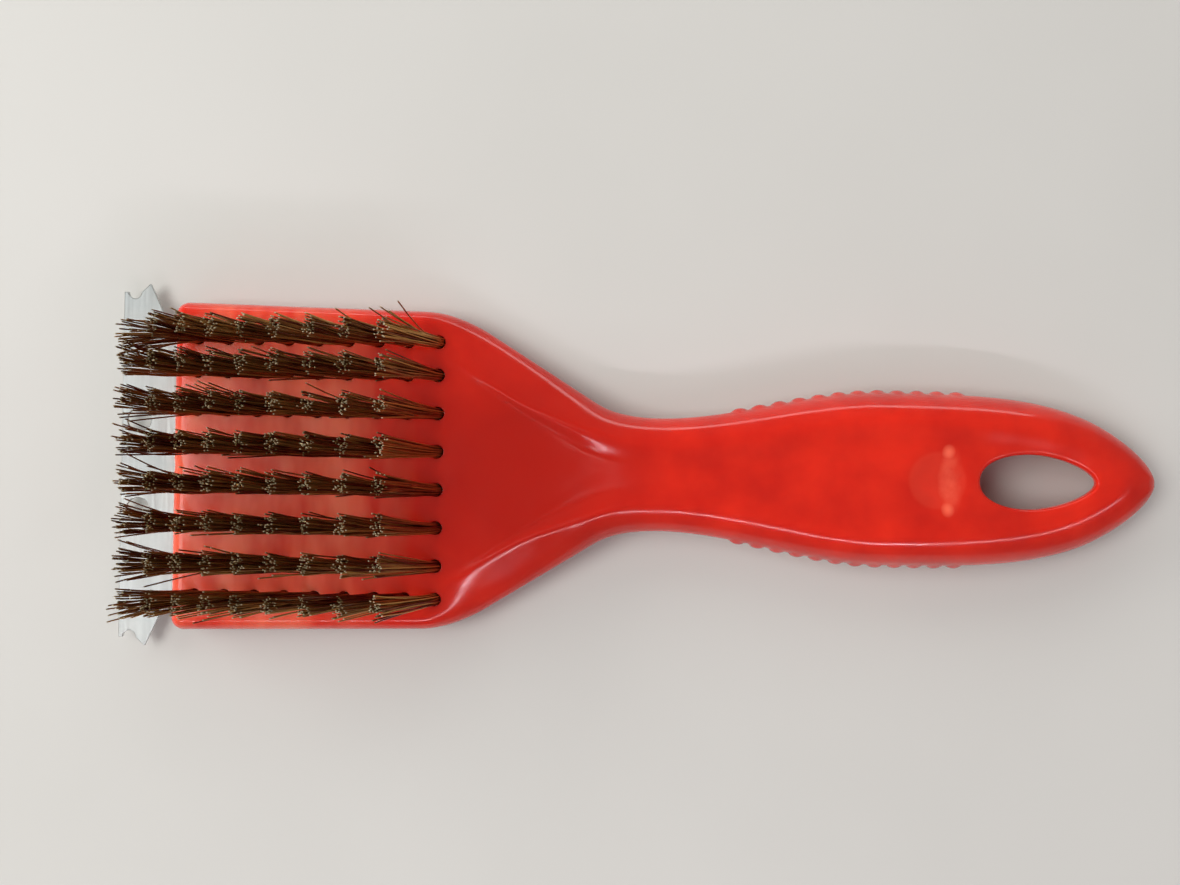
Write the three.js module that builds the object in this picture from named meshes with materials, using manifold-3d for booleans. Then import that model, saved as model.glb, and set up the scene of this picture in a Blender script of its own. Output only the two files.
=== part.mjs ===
// A hand brush for cleaning barbecue grills: one moulded plastic body (head, neck and
// handle), a sheet-metal scraper held in a slot in the head's front, and leaning tufts of
// brass-plated wire in eight rows. Millimetres, +Z up. The brush lies on its back with the
// bristles up, +X runs from the scraper to the end of the handle, and the origin is under
// the middle of the whole brush.
import * as THREE from 'three';
import { mergeVertices } from 'three/addons/utils/BufferGeometryUtils.js';
import Module from 'manifold-3d';

const wasm = await Module();
wasm.setup();

// Whole brush
const TOTAL_LENGTH = 222.2;
const TIP_X = TOTAL_LENGTH / 2;
const GAP = 0.3; // between pieces that touch on the real brush
const ON_OUTLINE = 1e-6; // a point nearer to the outline than this is on it

// Head
const HEAD_FRONT_X = -98.4;
const HEAD_REAR_X = -45.5;
const HEAD_THICKNESS = 13;
const HEAD_FRONT_HALF_WIDTH = 35;
const HEAD_REAR_HALF_WIDTH = 34;
const HEAD_CORNER_RADIUS = 2.8;
const HEAD_EDGE_ROUND = 3.2;
const HEAD_EDGE_POWER = 2.6; // rounder than a square edge, squarer than a quarter circle
const FRONT_SECTIONS = [0.15, 0.6, 1.5, HEAD_EDGE_ROUND]; // insets behind the front edge

// Flare, neck and handle, seen from above
const FLARE_START = { x: -31, halfWidth: 29.13 };
const FLARE_END = { x: -8.5, halfWidth: 15 };
const NECK_X = 5;
const NECK_HALF_WIDTH = 12.05;
const GRIP_X = 52;
const GRIP_HALF_WIDTH = 18.4;
const END_TAPER = { x: 99.85, halfWidth: 11.6 };
const GRIP_PULL = 20; // how far the grip's curve runs on from its widest place
const TAPER_PULL = { x: 12, halfWidth: 6.9 }; // and how steeply it reaches the taper
const END_PULL = { x: 6.65, halfWidth: 3.83 }; // how the taper runs on into the round end
const END_BLUNTNESS = 3.2;

// Flare, neck and handle, seen from the side: what changes between two places, and by how much
const RIDGE_CHANGES = [
  { start: -42, end: NECK_X, change: 3 },
  { start: NECK_X, end: GRIP_X, change: 1.5 },
  { start: 62, end: TIP_X + 6, change: -5 },
];
const UNDERSIDE_CHANGES = [
  { start: -38, end: -2, change: 3 },
  { start: 10, end: 55, change: -3 },
  { start: 84, end: TIP_X, change: 3 },
];
const SHOULDER_CHANGES = [
  { start: -47, end: -28, change: 1 },
  { start: -22, end: 2, change: 2.4 },
]; // of the width of the round edge, from the head's
const ROUNDING_RANGE = { start: -45, end: -5 }; // where the squarish edge turns fully round
const SLOPE_CHANGES = [
  { start: -47, end: -30, change: 0.62 },
  { start: -20, end: 4, change: -0.62 },
]; // of the share of the flare's height that is a gentle slope between its edge and crest
const WEB_RANGE = { start: -27, end: 8 }; // where the head's face turns into the handle's dish
const CREST_INSET = 8.9; // of the ridge's crest from the outline, at the flare
const CREST_CHANGES = [
  { start: -27, end: -7, change: -3.4 },
  { start: 0, end: 20, change: 1 },
];
const CREASE_INSET = 10.8; // of the foot of the ridge's inner side
const DISH_DEPTH = 0.5; // of the handle's middle below its ridge
const KEEL_BLEND = 1.2; // how widely the two shoulders run together at the end
const WIDEST_BLEND = 4;
const SECTION_PITCH = 3.6;
const SECTION_INSETS = [0, 0.2, 0.9, 2.2, 4, 6.2, CREST_INSET, CREASE_INSET];
const NARROWEST_SHARE = 0.85; // of the half width that the insets may take where it is narrow
const END_SECTIONS = 7;

// Grip bumps
const BUMPS_PER_SIDE = 12;
const BUMP_PITCH = 4.22;
const FIRST_BUMP_X = 21.8;
const BUMP_RADIUS = 2.7;
const BUMP_PROUD = 0.6;

// Hanging hole, a teardrop that widens towards the underside, and the dimple beside it
const HOLE_FRONT_X = 71.8;
const HOLE_REAR_X = 97.1;
const HOLE_WIDEST_X = 82.6;
const HOLE_HALF_WIDTH = 5.75;
const HOLE_ROUND_PULL = 5.3;
const HOLE_POINTED_PULL = 6.2;
const HOLE_BLUNTNESS = 0.7; // of its half width, towards the grip
const HOLE_SHARPNESS = 0.45; // of its half width, towards the end
const HOLE_WAIST_Z = 11.5; // above it the hole's wall is upright
const HOLE_TOP_Z = 30; // past the upper face
const HOLE_WIDENING = 3.6; // at the surface that the brush lies on
const HOLE_CUT_DEPTH = 1; // below that surface
const DIMPLE_X = 62.7;
const DIMPLE_RADIUS = 5.6;
const DIMPLE_DEPTH = 0.35;

// Tufts: rows across the head and columns along it
const ROW_PITCH = 8.05;
const OUTER_ROW_GAP = 7.05;
const INNER_ROWS = 6;
const COLUMNS = 9;
const FIRST_TUFT_X = -92.7;
const TUFT_PITCH = 6.325;
const TUFT_RADIUS = 1.4;
const TUFT_HOLE_DEPTH = 6;
const TUFT_HEIGHT = 20.7; // of the cut ends over the head's face
const TUFT_SIDES = 8;
const TIP_HALF_WIDTH = 2.3;
const OUTER_ROW_SPLAY = 0.6; // the outer rows lean out by this much
const LEAN_AT_ENDS = 9.4; // of the first and last tuft in a row, towards the scraper
const LEAN_EXTRA = 2.5; // of the middle tufts
const TIP_OVERLAP = 0.2; // how far neighbouring tufts of one group mesh at their ends
const GROUP_NAMES = ['front', 'middle', 'rear'];
const GROUP_SIZE = COLUMNS / GROUP_NAMES.length;

// Scraper plate
const PLATE_THICKNESS = 1;
const PLATE_BOTTOM_Z = 3.6;
const PLATE_CORNER_Y = 37.3;
const TOOTH_X = -105.5;
const TOOTH_Y = 39.05;
const FLANK_Y = 33.5; // where the tooth's flank starts to curve into the tab
const FLANK_SLOPE = 2.05;
const TAB_HALF_WIDTH = 30;
const TAB_LENGTH = 9; // held inside the head
const NOTCH_X = -108.8;
const NOTCH_RADIUS = 1.4;
const PLATE_HOLE_X = -107.4;
const PLATE_HOLE_Y = 9.7;
const PLATE_HOLE_RADIUS = 2.55;

const redPlastic = new THREE.MeshStandardMaterial({ color: 0xd82a1b, roughness: 0.3 });
const zincSteel = new THREE.MeshStandardMaterial({
  color: 0xd5dbdc,
  roughness: 0.3,
  metalness: 1,
});
const brassWire = new THREE.MeshStandardMaterial({
  color: 0x8f7340,
  roughness: 0.45,
  metalness: 1,
});

// A share from 0 to 1 that grows smoothly while x goes from start to end.
function ease(x, start, end) {
  return THREE.MathUtils.smoothstep(x, start, end);
}

// A closed geometry as a solid that can be joined and cut. Triangles that have shrunk to
// a line, as where a section closes to a point, are dropped.
function solidOf(geometry) {
  const bare = geometry.clone();
  bare.deleteAttribute('normal');
  bare.deleteAttribute('uv');
  const merged = mergeVertices(bare, 1e-4);
  const corners = [];
  for (let i = 0; i < merged.index.count; i += 3) {
    const [a, b, c] = [0, 1, 2].map((k) => merged.index.getX(i + k));
    if (a !== b && b !== c && c !== a) {
      corners.push(a, b, c);
    }
  }
  const mesh = new wasm.Mesh({
    numProp: 3,
    vertProperties: new Float32Array(merged.attributes.position.array),
    triVerts: new Uint32Array(corners),
  });
  return new wasm.Manifold(mesh);
}

function meshOf(name, solid, material) {
  const { vertProperties, triVerts } = solid.getMesh();
  const geometry = new THREE.BufferGeometry();
  geometry.setAttribute('position', new THREE.BufferAttribute(vertProperties, 3));
  geometry.setIndex(new THREE.BufferAttribute(triVerts, 1));
  geometry.computeVertexNormals();
  const mesh = new THREE.Mesh(geometry, material);
  mesh.name = name;
  return mesh;
}

function boxSolid(low, high) {
  const size = new THREE.Vector3().subVectors(high, low);
  const geometry = new THREE.BoxGeometry(size.x, size.y, size.z);
  geometry.translate((low.x + high.x) / 2, (low.y + high.y) / 2, (low.z + high.z) / 2);
  return solidOf(geometry);
}

// An upright prism of a flat shape, from one height to another.
function prism(shape, lowZ, highZ, curveSegments) {
  const options = { depth: highZ - lowZ, bevelEnabled: false, curveSegments };
  return solidOf(new THREE.ExtrudeGeometry(shape, options).translate(0, 0, lowZ));
}

function disc(x, y, radius) {
  const shape = new THREE.Shape();
  shape.absarc(x, y, radius, 0, 2 * Math.PI);
  return shape;
}

// Half of the body's outline seen from above, from the middle of the head's front edge
// round one side to the end of the handle.
function halfOutline() {
  const path = new THREE.Path();
  const front = HEAD_FRONT_X;
  const side = HEAD_FRONT_HALF_WIDTH;
  const corner = HEAD_CORNER_RADIUS;
  const slope = (FLARE_START.halfWidth - FLARE_END.halfWidth) / (FLARE_END.x - FLARE_START.x);
  const headTurnX = FLARE_START.x - (HEAD_REAR_HALF_WIDTH - FLARE_START.halfWidth) / slope;
  const neckTurnX = FLARE_END.x + (FLARE_END.halfWidth - NECK_HALF_WIDTH) / slope;
  const third = (GRIP_X - NECK_X) / 3;
  path.moveTo(front, 0);
  path.lineTo(front, side - corner);
  path.absarc(front + corner, side - corner, corner, Math.PI, Math.PI / 2, true);
  path.lineTo(HEAD_REAR_X, HEAD_REAR_HALF_WIDTH);
  path.quadraticCurveTo(headTurnX, HEAD_REAR_HALF_WIDTH, FLARE_START.x, FLARE_START.halfWidth);
  path.lineTo(FLARE_END.x, FLARE_END.halfWidth);
  path.quadraticCurveTo(neckTurnX, NECK_HALF_WIDTH, NECK_X, NECK_HALF_WIDTH);
  path.bezierCurveTo(
    NECK_X + third, NECK_HALF_WIDTH,
    GRIP_X - third, GRIP_HALF_WIDTH,
    GRIP_X, GRIP_HALF_WIDTH,
  );
  path.bezierCurveTo(
    GRIP_X + GRIP_PULL, GRIP_HALF_WIDTH,
    END_TAPER.x - TAPER_PULL.x, END_TAPER.halfWidth + TAPER_PULL.halfWidth,
    END_TAPER.x, END_TAPER.halfWidth,
  );
  path.bezierCurveTo(
    END_TAPER.x + END_PULL.x, END_TAPER.halfWidth - END_PULL.halfWidth,
    TIP_X, END_BLUNTNESS,
    TIP_X, 0,
  );
  return path;
}

const fineOutline = halfOutline().getPoints(24);

function halfWidthAt(x) {
  for (let i = 1; i < fineOutline.length; i += 1) {
    const [a, b] = [fineOutline[i - 1], fineOutline[i]];
    if (b.x > a.x && x <= b.x) {
      return THREE.MathUtils.mapLinear(x, a.x, b.x, a.y, b.y);
    }
  }
  return 0;
}

// How far a point lies from half of the outline.
function distanceToHalf(x, y) {
  const point = new THREE.Vector3(x, y, 0);
  const nearest = new THREE.Vector3();
  let distance = Infinity;
  for (let i = 1; i < fineOutline.length; i += 1) {
    const [a, b] = [fineOutline[i - 1], fineOutline[i]];
    const line = new THREE.Line3(new THREE.Vector3(a.x, a.y, 0), new THREE.Vector3(b.x, b.y, 0));
    line.closestPointToPoint(point, true, nearest);
    distance = Math.min(distance, nearest.distanceTo(point));
  }
  return distance;
}

// How far a point in the outline lies from it, and exactly 0 on it. The distances to the
// two sides run smoothly together along the middle, so the handle's end has no keel.
function edgeDistance(x, y) {
  const near = distanceToHalf(x, Math.abs(y));
  if (near <= ON_OUTLINE) {
    return 0;
  }
  const far = distanceToHalf(x, -Math.abs(y));
  const width = Math.min(WIDEST_BLEND, KEEL_BLEND * near);
  const share = Math.max(0, 1 - (far - near) / width);
  return near - (share ** 2 * width) / 4;
}

// The sum of the changes that lie before x, each growing smoothly over its range.
function changeUpTo(x, changes) {
  return changes.reduce((sum, { start, end, change }) => sum + change * ease(x, start, end), 0);
}

// The height of the ridge that runs along both sides of the neck and handle.
function ridgeHeight(x) {
  return HEAD_THICKNESS + changeUpTo(x, RIDGE_CHANGES);
}

// The height of the face between the ridges: the flat head, then the handle's dish.
function floorHeight(x) {
  const share = ease(x, WEB_RANGE.start, WEB_RANGE.end);
  return THREE.MathUtils.lerp(HEAD_THICKNESS, ridgeHeight(x) - DISH_DEPTH, share);
}

function undersideHeight(x) {
  return changeUpTo(x, UNDERSIDE_CHANGES);
}

// The height of the widest line round the body, where the two halves of the mould meet.
function partingHeight(x) {
  return (undersideHeight(x) + ridgeHeight(x)) / 2;
}

// How the round edge climbs from the parting line at the outline, as a share.
function climb(x, distance) {
  const width = HEAD_EDGE_ROUND + changeUpTo(x, SHOULDER_CHANGES);
  const roundness = ease(x, ROUNDING_RANGE.start, ROUNDING_RANGE.end);
  const power = THREE.MathUtils.lerp(HEAD_EDGE_POWER, 2, roundness);
  const left = Math.max(0, 1 - distance / width);
  return (1 - left ** power) ** (1 / power);
}

function topHeight(x, y) {
  const distance = edgeDistance(x, y);
  const crest = CREST_INSET + changeUpTo(x, CREST_CHANGES);
  const slope = Math.min(1, distance / crest);
  const share = THREE.MathUtils.lerp(climb(x, distance), slope, changeUpTo(x, SLOPE_CHANGES));
  const inner = ease(distance, crest, CREASE_INSET);
  const level = THREE.MathUtils.lerp(ridgeHeight(x), floorHeight(x), inner);
  return THREE.MathUtils.lerp(partingHeight(x), level, share);
}

function bottomHeight(x, y) {
  const share = climb(x, edgeDistance(x, y));
  return THREE.MathUtils.lerp(partingHeight(x), undersideHeight(x), share);
}

// The places along the body where it has a section: close together at the front edge, a
// few millimetres apart from the head's rear on, and closer again round the handle's end.
function stations() {
  const places = [HEAD_FRONT_X, ...FRONT_SECTIONS.map((inset) => HEAD_FRONT_X + inset)];
  for (let x = HEAD_REAR_X; x < END_TAPER.x; x += SECTION_PITCH) {
    places.push(x);
  }
  for (let i = 0; i <= END_SECTIONS; i += 1) {
    const turn = (i / END_SECTIONS) * (Math.PI / 2);
    places.push(END_TAPER.x + (TIP_X - END_TAPER.x) * Math.sin(turn));
  }
  return places;
}

// One closed section across the body, from one side over the top and back underneath.
function section(x) {
  const halfWidth = halfWidthAt(x);
  const scale = Math.min(1, (NARROWEST_SHARE * halfWidth) / CREASE_INSET);
  const side = SECTION_INSETS.map((inset) => halfWidth - inset * scale);
  const across = [...side, 0, ...side.map((y) => -y).reverse()];
  const over = across.map((y) => new THREE.Vector3(x, y, topHeight(x, y)));
  const back = across.slice(1, -1).reverse();
  const under = back.map((y) => new THREE.Vector3(x, y, bottomHeight(x, y)));
  return [...over, ...under];
}

function bodyShell() {
  const rings = stations().map(section);
  const count = rings[0].length;
  const geometry = new THREE.BufferGeometry().setFromPoints(rings.flat());
  const index = [];
  for (let i = 0; i < rings.length - 1; i += 1) {
    for (let j = 0; j < count; j += 1) {
      const next = (j + 1) % count;
      const [a, b] = [i * count + j, i * count + next];
      index.push(a, b, a + count);
      index.push(b, b + count, a + count);
    }
  }
  geometry.setIndex(index);
  return solidOf(geometry);
}

function rowPlaces() {
  const places = [];
  for (let i = 0; i < INNER_ROWS; i += 1) {
    places.push((i - (INNER_ROWS - 1) / 2) * ROW_PITCH);
  }
  const outer = places[INNER_ROWS - 1] + OUTER_ROW_GAP;
  return [-outer, ...places, outer].reverse();
}

function tuftX(column) {
  return FIRST_TUFT_X + column * TUFT_PITCH;
}

// Where a tuft's cut ends are along the brush.
function tipX(column) {
  const share = column / (COLUMNS - 1);
  return tuftX(column) - LEAN_AT_ENDS - LEAN_EXTRA * Math.sin(Math.PI * share);
}

function gripBumps() {
  const bumps = [];
  for (let i = 0; i < BUMPS_PER_SIDE; i += 1) {
    const x = FIRST_BUMP_X + i * BUMP_PITCH;
    const y = halfWidthAt(x) + BUMP_PROUD - BUMP_RADIUS;
    for (const side of [-1, 1]) {
      const bump = new THREE.SphereGeometry(BUMP_RADIUS, 8, 6);
      bump.rotateX(Math.PI / 2);
      bumps.push(solidOf(bump.translate(x, side * y, partingHeight(x))));
    }
  }
  return wasm.Manifold.union(bumps);
}

function tuftHoles() {
  const holes = [];
  for (const y of rowPlaces()) {
    for (let column = 0; column < COLUMNS; column += 1) {
      const radius = TUFT_RADIUS + GAP;
      const hole = new THREE.CylinderGeometry(radius, radius, 2 * TUFT_HOLE_DEPTH, TUFT_SIDES);
      hole.rotateX(Math.PI / 2).translate(tuftX(column), y, HEAD_THICKNESS);
      holes.push(solidOf(hole));
    }
  }
  return wasm.Manifold.union(holes);
}

// Round towards the grip and pointed towards the end of the handle.
function hangingShape() {
  const shape = new THREE.Shape();
  const wide = HOLE_HALF_WIDTH;
  const [roundPull, pointedPull] = [HOLE_WIDEST_X - HOLE_ROUND_PULL, HOLE_WIDEST_X + HOLE_POINTED_PULL];
  const [blunt, sharp] = [HOLE_BLUNTNESS * wide, HOLE_SHARPNESS * wide];
  shape.moveTo(HOLE_FRONT_X, 0);
  shape.bezierCurveTo(HOLE_FRONT_X, blunt, roundPull, wide, HOLE_WIDEST_X, wide);
  shape.bezierCurveTo(pointedPull, wide, HOLE_REAR_X, sharp, HOLE_REAR_X, 0);
  shape.bezierCurveTo(HOLE_REAR_X, -sharp, pointedPull, -wide, HOLE_WIDEST_X, -wide);
  shape.bezierCurveTo(roundPull, -wide, HOLE_FRONT_X, -blunt, HOLE_FRONT_X, 0);
  return shape;
}

// Upright above its waist, and below it widening towards the underside.
function hangingHole() {
  const options = { depth: HOLE_WAIST_Z + HOLE_CUT_DEPTH, bevelEnabled: false, curveSegments: 6 };
  const lower = new THREE.ExtrudeGeometry(hangingShape(), options);
  const middleX = (HOLE_FRONT_X + HOLE_REAR_X) / 2;
  const widening = (HOLE_WIDENING * options.depth) / HOLE_WAIST_Z;
  const scaleX = 1 + (2 * widening) / (HOLE_REAR_X - HOLE_FRONT_X);
  const scaleY = 1 + widening / HOLE_HALF_WIDTH;
  const points = lower.attributes.position;
  for (let i = 0; i < points.count; i += 1) {
    if (points.getZ(i) < options.depth / 2) {
      points.setX(i, middleX + (points.getX(i) - middleX) * scaleX);
      points.setY(i, points.getY(i) * scaleY);
    }
  }
  lower.translate(0, 0, -HOLE_CUT_DEPTH);
  const upper = prism(hangingShape(), HOLE_WAIST_Z, HOLE_TOP_Z, options.curveSegments);
  return solidOf(lower).add(upper);
}

function dimple() {
  const bottom = topHeight(DIMPLE_X, 0) - DIMPLE_DEPTH;
  return prism(disc(DIMPLE_X, 0, DIMPLE_RADIUS), bottom, bottom + 5, 12);
}

function scraperSlot() {
  const halfWidth = TAB_HALF_WIDTH + GAP;
  const lowZ = PLATE_BOTTOM_Z - GAP;
  const highZ = PLATE_BOTTOM_Z + PLATE_THICKNESS + GAP;
  return boxSolid(
    new THREE.Vector3(HEAD_FRONT_X - 2, -halfWidth, lowZ),
    new THREE.Vector3(HEAD_FRONT_X + TAB_LENGTH + GAP, halfWidth, highZ),
  );
}

function handleBody() {
  return bodyShell()
    .add(gripBumps())
    .subtract(tuftHoles())
    .subtract(hangingHole())
    .subtract(dimple())
    .subtract(scraperSlot());
}

// The scraper: a straight front edge, and at each end a round notch for a grill bar, a
// pointed tooth and the tooth's flank, which runs into the tab inside the head.
function scraperPlate() {
  const shape = new THREE.Shape();
  const [corner, tooth, tab] = [PLATE_CORNER_Y, TOOTH_Y, TAB_HALF_WIDTH];
  const [front, mouth, rear] = [-TIP_X, HEAD_FRONT_X - 1, HEAD_FRONT_X + TAB_LENGTH];
  const flankX = TOOTH_X + (TOOTH_Y - FLANK_Y) / FLANK_SLOPE;
  const turnX = flankX + (FLANK_Y - TAB_HALF_WIDTH) / FLANK_SLOPE;
  shape.moveTo(front, -corner);
  shape.absarc(NOTCH_X, -corner, NOTCH_RADIUS, Math.PI, 0, true);
  shape.lineTo(TOOTH_X, -tooth);
  shape.lineTo(flankX, -FLANK_Y);
  shape.quadraticCurveTo(turnX, -tab, mouth, -tab);
  shape.lineTo(rear, -tab);
  shape.lineTo(rear, tab);
  shape.lineTo(mouth, tab);
  shape.quadraticCurveTo(turnX, tab, flankX, FLANK_Y);
  shape.lineTo(TOOTH_X, tooth);
  shape.absarc(NOTCH_X, corner, NOTCH_RADIUS, 0, Math.PI, true);
  shape.lineTo(front, corner);
  for (const side of [-1, 1]) {
    const hole = new THREE.Path();
    hole.absarc(PLATE_HOLE_X, side * PLATE_HOLE_Y, PLATE_HOLE_RADIUS, 0, 2 * Math.PI);
    shape.holes.push(hole);
  }
  return prism(shape, PLATE_BOTTOM_Z, PLATE_BOTTOM_Z + PLATE_THICKNESS, 8);
}

// A tuft stands straight in its hole, then leans and fans out up to its cut ends, where
// it reaches ahead and behind along the row by the two given amounts.
function tuft(column, y, ahead, behind) {
  const heights = [HEAD_THICKNESS - TUFT_HOLE_DEPTH + GAP, HEAD_THICKNESS + GAP];
  heights.push(HEAD_THICKNESS + TUFT_HEIGHT);
  const isOuter = Math.abs(y) > (INNER_ROWS / 2) * ROW_PITCH;
  const tipY = y + (isOuter ? Math.sign(y) * OUTER_ROW_SPLAY : 0);
  const geometry = new THREE.CylinderGeometry(1, 1, 2, TUFT_SIDES, 2).rotateX(Math.PI / 2);
  const points = geometry.attributes.position;
  for (let i = 0; i < points.count; i += 1) {
    const [u, v] = [points.getX(i), points.getY(i)];
    const level = 1 + Math.round(points.getZ(i));
    const atTip = level === 2;
    const x = atTip ? tipX(column) + u * (u < 0 ? ahead : behind) : tuftX(column) + u * TUFT_RADIUS;
    const across = atTip ? tipY + v * TIP_HALF_WIDTH : y + v * TUFT_RADIUS;
    points.setXYZ(i, x, across, heights[level]);
  }
  return solidOf(geometry);
}

// Neighbouring tufts whose wires mesh at the ends, as one solid.
function tuftGroup(y, firstColumn) {
  const lastColumn = firstColumn + GROUP_SIZE - 1;
  const reach = (column, neighbour, joined) =>
    Math.abs(tipX(column) - tipX(neighbour)) / 2 + (joined ? TIP_OVERLAP : -TIP_OVERLAP);
  const tufts = [];
  for (let column = firstColumn; column <= lastColumn; column += 1) {
    const ahead = reach(column, column - 1, column > firstColumn);
    const behind = reach(column, column + 1, column < lastColumn);
    tufts.push(tuft(column, y, ahead, behind));
  }
  return wasm.Manifold.union(tufts);
}

const brush = new THREE.Group();
brush.add(meshOf('handle_body', handleBody(), redPlastic));
brush.add(meshOf('scraper_plate', scraperPlate(), zincSteel));
rowPlaces().forEach((y, row) => {
  GROUP_NAMES.forEach((place, group) => {
    const name = `tufts_row_${row + 1}_${place}`;
    brush.add(meshOf(name, tuftGroup(y, group * GROUP_SIZE), brassWire));
  });
});

export default brush;
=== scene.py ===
"""A barbecue grill brush lying on its back on a pale table, seen from straight above.

The body, the scraper, every tuft of wires and every staple are pieces of their own, built in
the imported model's frame. Lengths are in millimetres until a mesh is made, then in metres.
"""
import math
import random

import bpy
import numpy as np
from mathutils import Matrix, Vector
from mathutils.geometry import delaunay_2d_cdt


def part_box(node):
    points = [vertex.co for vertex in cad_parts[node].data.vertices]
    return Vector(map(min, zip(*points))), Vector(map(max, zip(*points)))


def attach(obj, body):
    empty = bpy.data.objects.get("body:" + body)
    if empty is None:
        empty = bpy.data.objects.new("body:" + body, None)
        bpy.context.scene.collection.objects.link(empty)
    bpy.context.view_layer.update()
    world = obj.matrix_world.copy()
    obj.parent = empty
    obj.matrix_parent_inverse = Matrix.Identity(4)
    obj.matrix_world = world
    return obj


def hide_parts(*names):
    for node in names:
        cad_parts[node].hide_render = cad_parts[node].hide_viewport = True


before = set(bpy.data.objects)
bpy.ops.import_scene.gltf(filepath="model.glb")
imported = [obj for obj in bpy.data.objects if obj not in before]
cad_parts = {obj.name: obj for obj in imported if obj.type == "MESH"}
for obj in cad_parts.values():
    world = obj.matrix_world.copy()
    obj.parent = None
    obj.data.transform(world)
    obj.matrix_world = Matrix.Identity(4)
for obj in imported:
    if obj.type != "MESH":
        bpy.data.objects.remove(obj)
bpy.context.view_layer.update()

SEED = 20
MM = 0.001
CURVE_SAMPLES = 400
SMALLEST_RISE = 1e-12
SMALLEST_WIDTH = 1e-9
SMOOTH_ANGLE = 35  # degrees; a sharper edge is not smoothed over
METAL_SMOOTH_ANGLE = 30
WIRE_SMOOTH_ANGLE = 60
BEVEL_RESOLUTION = 2


def box_mm(node):
    """A CAD node's lowest and highest corners in millimetres."""
    low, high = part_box(node)
    return low / MM, high / MM


BODY_LOW, BODY_HIGH = box_mm("handle_body")
PLATE_LOW, PLATE_HIGH = box_mm("scraper_plate")
TUFT_TOP_Z = box_mm("tufts_row_4_middle")[1].z

# Body, seen from above
HEAD_FRONT_X = BODY_LOW.x
HEAD_HALF_WIDTH = BODY_HIGH.y
TIP_X = BODY_HIGH.x
HEAD_REAR_X = -45.5
HEAD_REAR_HALF_WIDTH = 34
HEAD_CORNER_RADIUS = 2.8
FLARE_START = (-31, 29.13)
FLARE_END = (-8.5, 15)
NECK = (5, 12.05)
GRIP = (52, 18.4)
GRIP_PULL = 20
END_TAPER = (99.85, 11.6)
END_TAPER_PULLS = ((-12, 6.9), (6.65, -3.83))  # before and after it
TIP_BLUNTNESS = 3.2

# Distances between points along the outline
FRONT_STEP = 1.5
SIDE_STEP = 1.6
TURN_STEP = 0.8
FLARE_STEP = 0.9
GRIP_STEP = 0.4
HANDLE_STEP = 0.35
HEAD_CORNER_STEPS = 12

# Body, seen from the side: what changes between two places along it, and by how much
HEAD_THICKNESS = 13
RIDGE_CHANGES = ((-42, 5, 3), (5, 52, 1.5), (62, TIP_X + 6, -5))
UNDERSIDE_CHANGES = ((-38, -2, 3), (10, 55, -3), (84, TIP_X, 3))
WEB_STRETCH = (-27, 8)  # where the head's face turns into the handle's dish
DISH_DEPTH = 0.5

# Round edges and shoulders
HEAD_EDGE_ROUND = 3.2
HEAD_EDGE_POWER = 2.6  # rounder than a square edge, squarer than a quarter circle
SHOULDER_CHANGES = ((-47, -28, 1), (-22, 2, 2.4))  # of the round edge's width
ROUNDING_STRETCH = (-45, -5)
SLOPE_CHANGES = ((-47, -30, 0.62), (-20, 4, -0.62))  # of the height's share in a gentle slope
CREST_INSET = 8.9  # of the ridge's crest from the outline, at the flare
CREST_CHANGES = ((-27, -7, -3.4), (0, 20, 1))
CREST_SOFTNESS = 0.12  # of the crest's inset, to each side of it
CREASE_INSET = 10.8  # of the foot of the ridge's inner side
SHOULDER_STEPS = 14
STITCHED_STEPS = 8  # of the shoulder's steps, those joined as strips
RING_POINT_GAP = 0.16
RING_TOLERANCE = 0.03
RING_HOLE_MARGIN = 0.35
RING_CREST_MARGIN = 0.4
NARROWEST_SLOPE = 1  # between the round edge and the crest, for rings to go there
SLOPE_SHARES = (0.2, 0.4, 0.6, 0.78)  # of the way from the round edge to the crest
CREASE_SHARES = (-0.32, -0.2, -0.08, 0.04, 0.14, 0.28, 0.42, 0.56, 0.7, 0.85, 1, 1.2)
CREASE_FROM_X = -37
KEEL_BLEND = 1.2  # how widely the two shoulders run together at the tip
WIDEST_BLEND = 4
FACE_SPACING = 1.6
FACE_STAGGER = 0.3  # of the spacing, every other point
FACE_POINT_GAP = 0.6
FACE_MARGIN = 0.6  # from the head's round edge
FACE_CREASE_MARGIN = 0.5
FACE_HOLE_MARGIN = 0.5
FACE_FRONT_MARGIN = 3
MERGE_DISTANCE = 1e-5
POINTS_AT_ONCE = 2000  # compared with a whole path, to spare memory

# Grip bumps
BUMPS_PER_SIDE = 12
BUMP_PITCH = 4.22
FIRST_BUMP_X = 21.8
BUMP_RADIUS = 2.7
BUMP_PROUD = 0.6
BUMP_STRETCH = 1.4  # how much taller than wide a bump is

# Hanging hole and dimple
HOLE_FRONT_X = 71.8
HOLE_REAR_X = 97.1
HOLE_WIDEST_X = 82.6
HOLE_HALF_WIDTH = 5.75
HOLE_ROUND = 0.8  # of the rim on the upper face
HOLE_WAIST_Z = 11.5  # above it the wall is upright, below it the hole widens
HOLE_WIDENING = 3.6
HOLE_LOWER_ROUND = 0.8
HOLE_PULLS = (5.3, 6.2)  # on the round and on the pointed side of its widest place
HOLE_BLUNTNESS = (0.7, 0.45)  # of its two ends
HOLE_STEP = 0.55
HOLE_RIM_TURNS = range(15, 91, 15)
HOLE_RINGS = (1.4, 2, 2.5, 2.8, 3.1, 3.4, 3.7, 4, 4.4)
DIMPLE_X = 62.7
DIMPLE_EDGE = (3.8, 7.2)
DIMPLE_DEPTH = 0.35
DIMPLE_RINGS = 7
DIMPLE_SIDES = 56

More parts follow.
